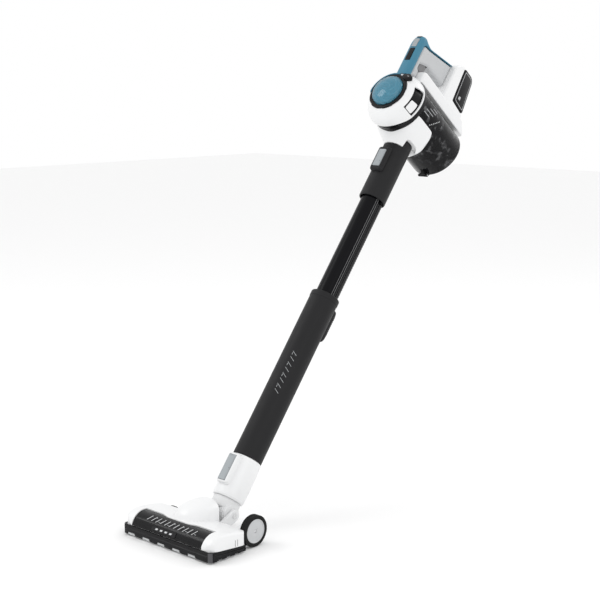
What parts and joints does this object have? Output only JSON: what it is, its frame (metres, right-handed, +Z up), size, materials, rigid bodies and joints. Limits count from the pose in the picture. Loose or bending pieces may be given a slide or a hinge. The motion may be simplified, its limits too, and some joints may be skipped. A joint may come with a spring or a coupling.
{
  "type": "cordless stick vacuum cleaner",
  "caption": "Cordless stick vacuum: powered floor head on a swivelling neck, telescopic wand, and a detachable handheld cyclone unit with battery and trigger grip.",
  "frame": {"origin": "on the floor, midway between the two sides and midway between the front bumper and the rearmost point of the battery", "axes": "+Z up from the floor, -Y out through the front of the floor head, +X to the side that carries the large wheel"},
  "size_m": [0.25, 0.9338, 0.9686],
  "materials": {
    "white": "satin white moulding",
    "gloss_black": "polished black moulding",
    "charcoal": "fine matt charcoal",
    "satin_black_tube": "satin black coated tube",
    "blue": "satin blue",
    "clear_blue": "translucent blue, polished",
    "smoked": "smoked clear plastic",
    "silver": "fine metallic silver paint",
    "grey": "light grey",
    "rubber": "black rubber",
    "steel": "bright steel",
    "nylon": "bristle and felt strips",
    "felt": "pleated filter felt"
  },
  "bodies": {
    "handheld": {"inlet_duct": "white", "cyclone_ring": "white", "motor_housing": "gloss_black", "bin_collar": "gloss_black", "pre_filter": "felt", "suction_motor": "steel", "mesh_shroud": "steel", "spine_housing": "white", "handle_left": "white", "handle_right": "white", "arm_cover": "blue", "display_window": "grey", "battery_housing": "white"},
    "bin": {"dust_bin": "smoked", "lid_hinge_pin": "steel"},
    "lid": {"bin_lid": "smoked"},
    "filter_cap": {"dome_ring": "gloss_black", "filter_dome": "clear_blue", "dome_latch": "gloss_black"},
    "bin_catch": {"bin_latch": "white"},
    "trigger": {"trigger": "grey"},
    "power_mode": {"mode_button": "gloss_black"},
    "battery": {"battery_pack": "gloss_black"},
    "battery_release": {"battery_button": "grey"},
    "fan": {"impeller": "grey"},
    "upper_wand": {"upper_collar": "charcoal", "inner_tube": "satin_black_tube", "wand_rack": "gloss_black"},
    "collar_release": {"collar_button": "silver"},
    "lower_wand": {"lower_sleeve": "charcoal", "sleeve_bush": "grey"},
    "length_lock": {"lock_slider": "gloss_black"},
    "neck": {"neck_shell": "white"},
    "head_release": {"neck_button": "silver"},
    "knuckle": {"elbow_knuckle": "grey", "pivot_pin_left": "steel", "pivot_pin_right": "steel"},
    "head": {"head_shell": "white", "base_tray": "white", "front_bumper": "gloss_black", "brush_window": "smoked", "brush_motor": "steel", "drive_belt": "rubber", "suction_duct": "gloss_black", "wheel_bracket": "white", "wheel_axle": "steel", "roller_bracket": "white", "roller_axle": "steel", "hinge_arm_left": "white", "hinge_arm_right": "white"},
    "brush": {"brush_roller": "nylon", "brush_pulley": "grey"},
    "motor_drive": {"motor_pulley": "steel"},
    "wheel": {"tyre": "rubber", "wheel_hub": "grey"},
    "far_roller": {"rear_roller": "rubber"},
    "front_roller_left": {"side_roller_left": "grey"},
    "front_roller_right": {"side_roller_right": "grey"}
  },
  "joints": [
    {"name": "bin_release", "type": "slide", "parent": "handheld", "child": "bin", "axis": [0, 0.7853, -0.6191], "range_m": [0, 0.1]},
    {"name": "lid_open", "type": "hinge", "parent": "bin", "child": "lid", "pos_m": [0, 0.32376, 0.66224], "axis": [1, 0, 0], "range_deg": [-80, 0]},
    {"name": "filter_cap_turn", "type": "hinge", "parent": "handheld", "child": "filter_cap", "pos_m": [0, 0.19608, 0.84757], "axis": [0, -0.7853, 0.6191], "range_deg": [-30, 0]},
    {"name": "bin_catch_push", "type": "slide", "parent": "handheld", "child": "bin_catch", "axis": [-0.9397, 0.2117, 0.2686], "range_m": [0, 0.0012], "stiffness_N_per_m": 400},
    {"name": "trigger_pull", "type": "slide", "parent": "handheld", "child": "trigger", "axis": [0, 0.6191, 0.7853], "range_m": [0, 0.005], "stiffness_N_per_m": 300, "springref_m": -0.004},
    {"name": "mode_press", "type": "slide", "parent": "handheld", "child": "power_mode", "axis": [0, 0.7853, -0.6191], "range_m": [0, 0.001], "stiffness_N_per_m": 400},
    {"name": "battery_slide", "type": "slide", "parent": "handheld", "child": "battery", "axis": [0, 0.6191, 0.7853], "range_m": [0, 0.06]},
    {"name": "battery_release_press", "type": "slide", "parent": "battery", "child": "battery_release", "axis": [0, -0.6191, -0.7853], "range_m": [0, 0.0015], "stiffness_N_per_m": 400, "springref_m": -0.001},
    {"name": "fan_spin", "type": "hinge", "parent": "handheld", "child": "fan", "pos_m": [0, 0.21964, 0.82899], "axis": [0, -0.7853, 0.6191], "continuous": true},
    {"name": "wand_detach", "type": "slide", "parent": "handheld", "child": "upper_wand", "axis": [0, -0.6191, -0.7853], "range_m": [0, 0.095]},
    {"name": "collar_release_press", "type": "slide", "parent": "upper_wand", "child": "collar_release", "axis": [0, 0.7853, -0.6191], "range_m": [0, 0.001], "stiffness_N_per_m": 400},
    {"name": "telescope", "type": "slide", "parent": "upper_wand", "child": "lower_wand", "axis": [0, 0.6191, 0.7853], "range_m": [0, 0.2]},
    {"name": "length_lock_slide", "type": "slide", "parent": "lower_wand", "child": "length_lock", "axis": [0, -0.6191, -0.7853], "range_m": [0, 0.006], "stiffness_N_per_m": 300, "springref_m": -0.004},
    {"name": "head_detach", "type": "slide", "parent": "lower_wand", "child": "neck", "axis": [0, -0.6191, -0.7853], "range_m": [0, 0.04]},
    {"name": "head_release_press", "type": "slide", "parent": "neck", "child": "head_release", "axis": [0, 0.7853, -0.6191], "range_m": [0, 0.0018], "stiffness_N_per_m": 400},
    {"name": "neck_twist", "type": "hinge", "parent": "neck", "child": "knuckle", "pos_m": [0, -0.30517, 0.05021], "axis": [0, 0.6191, 0.7853], "range_deg": [-60, 60]},
    {"name": "elbow_pitch", "type": "hinge", "parent": "knuckle", "child": "head", "pos_m": [0, -0.31755, 0.0345], "axis": [1, 0, 0], "range_deg": [-33, 38]},
    {"name": "brush_spin", "type": "hinge", "parent": "head", "child": "brush", "pos_m": [0, -0.43345, 0.0215], "axis": [1, 0, 0], "continuous": true},
    {"name": "motor_drive_spin", "type": "hinge", "parent": "head", "child": "motor_drive", "pos_m": [0, -0.38845, 0.0235], "axis": [1, 0, 0], "continuous": true},
    {"name": "wheel_spin", "type": "hinge", "parent": "head", "child": "wheel", "pos_m": [0.112, -0.34185, 0.0307], "axis": [1, 0, 0], "continuous": true},
    {"name": "far_roller_spin", "type": "hinge", "parent": "head", "child": "far_roller", "pos_m": [-0.11, -0.34845, 0.0145], "axis": [1, 0, 0], "continuous": true},
    {"name": "front_roller_left_spin", "type": "hinge", "parent": "head", "child": "front_roller_left", "pos_m": [-0.112, -0.39495, 0.0048], "axis": [1, 0, 0], "continuous": true},
    {"name": "front_roller_right_spin", "type": "hinge", "parent": "head", "child": "front_roller_right", "pos_m": [0.112, -0.39495, 0.0048], "axis": [1, 0, 0], "continuous": true}
  ],
  "couplings": [
    {"joint": "motor_drive_spin", "follows": "brush_spin", "ratio": 1.678}
  ]
}
